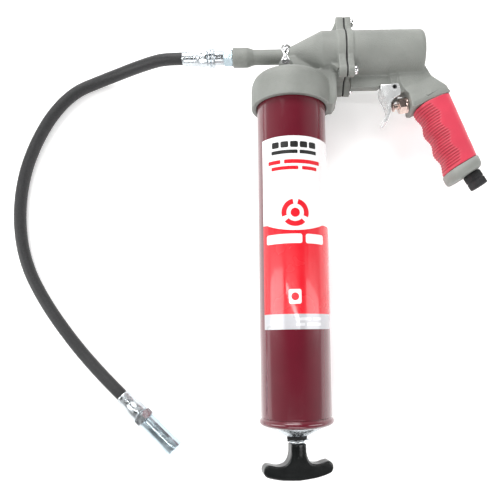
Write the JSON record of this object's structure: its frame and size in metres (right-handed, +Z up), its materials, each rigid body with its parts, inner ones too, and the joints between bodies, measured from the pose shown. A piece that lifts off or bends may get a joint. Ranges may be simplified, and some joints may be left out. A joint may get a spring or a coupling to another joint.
{
  "type": "pistol-grip air-operated grease gun",
  "caption": "Air-operated pistol-grip grease gun with a maroon barrel, red ribbed grip, spring follower and a black delivery hose ending in a grease coupler.",
  "frame": {"origin": "middle of the footprint of the gun without its hose, at the level of the surface that it lies on", "axes": "+X along the pump and air motor towards the grip, +Y along the barrel towards the pump head, +Z up from the surface"},
  "size_m": [0.4046, 0.3819, 0.066],
  "materials": {
    "cast_grey": "matt die casting",
    "maroon_paint": "gloss paint",
    "chrome": "polished chrome plate",
    "zinc_plate": "bright zinc plate",
    "nickel_brass": "nickel-plated brass",
    "steel": "bare steel",
    "black_rubber": "matt black rubber",
    "red_rubber": "ribbed red rubber",
    "black_plastic": "gloss black plastic",
    "black_steel": "black oxide steel"
  },
  "bodies": {
    "gun_body": {"air_inlet": "black_steel", "barrel": "maroon_paint", "barrel_end_cone": "zinc_plate", "barrel_seal": "black_rubber", "check_spring": "steel", "coupler_body": "zinc_plate", "coupler_ferrule": "zinc_plate", "coupler_jaw_1": "steel", "coupler_jaw_2": "steel", "coupler_jaw_3": "steel", "coupler_sleeve": "chrome", "flange_gasket": "black_rubber", "flange_screw_far": "chrome", "flange_screw_near": "chrome", "flange_screw_top": "chrome", "follower_spring": "steel", "grip_end_cap": "cast_grey", "hose": "black_rubber", "hose_ferrule": "zinc_plate", "hose_fitting": "zinc_plate", "inlet_screen": "steel", "loader_nipple": "chrome", "motor_housing": "cast_grey", "outlet_adapter": "zinc_plate", "pump_head": "cast_grey", "return_spring": "steel", "rod_gland": "black_rubber", "rod_seal": "black_rubber", "rubber_grip": "red_rubber", "trigger_pin": "black_steel", "valve_nut": "nickel_brass", "valve_spring": "steel"},
    "rod_and_follower": {"t_handle": "black_plastic", "handle_collar": "zinc_plate", "follower_rod": "steel", "follower": "black_rubber", "follower_back_plate": "steel", "follower_front_plate": "steel", "follower_nut": "steel"},
    "latch_plate": {"rod_latch_plate": "zinc_plate"},
    "trigger": {"trigger": "chrome"},
    "valve_stem": {"valve_stem": "nickel_brass"},
    "air_piston": {"air_piston": "steel", "piston_seal": "black_rubber", "pump_plunger": "chrome"},
    "check_ball": {"check_ball": "steel"}
  },
  "joints": [
    {"name": "trigger_pull", "type": "hinge", "parent": "gun_body", "child": "trigger", "pos_m": [0.0334, 0.126, 0.033], "axis": [0, 0, 1], "range_deg": [0, 11], "stiffness_Nm_per_rad": 0.5},
    {"name": "valve_stem_push", "type": "slide", "parent": "gun_body", "child": "valve_stem", "axis": [0.9903, 0.1392, 0], "range_m": [0, 0.0028], "deforming": ["valve_spring"]},
    {"name": "rod_draw", "type": "slide", "parent": "gun_body", "child": "rod_and_follower", "axis": [0, -1, 0], "range_m": [0, 0.2], "stiffness_N_per_m": 200, "deforming": ["follower_spring"]},
    {"name": "latch_plate_tilt", "type": "hinge", "parent": "gun_body", "child": "latch_plate", "pos_m": [-0.0589, -0.16, 0.033], "axis": [0, 0, -1], "range_deg": [0, 2.5], "stiffness_Nm_per_rad": 0.05},
    {"name": "piston_stroke", "type": "slide", "parent": "gun_body", "child": "air_piston", "axis": [-1, 0, 0], "range_m": [0, 0.04], "stiffness_N_per_m": 300, "deforming": ["return_spring"]},
    {"name": "check_ball_lift", "type": "slide", "parent": "gun_body", "child": "check_ball", "axis": [-1, 0, 0], "range_m": [0, 0.001], "stiffness_N_per_m": 100, "deforming": ["check_spring"]}
  ],
  "couplings": [
    {"joint": "valve_stem_push", "follows": "trigger_pull", "m_per_rad": 0.01432}
  ]
}
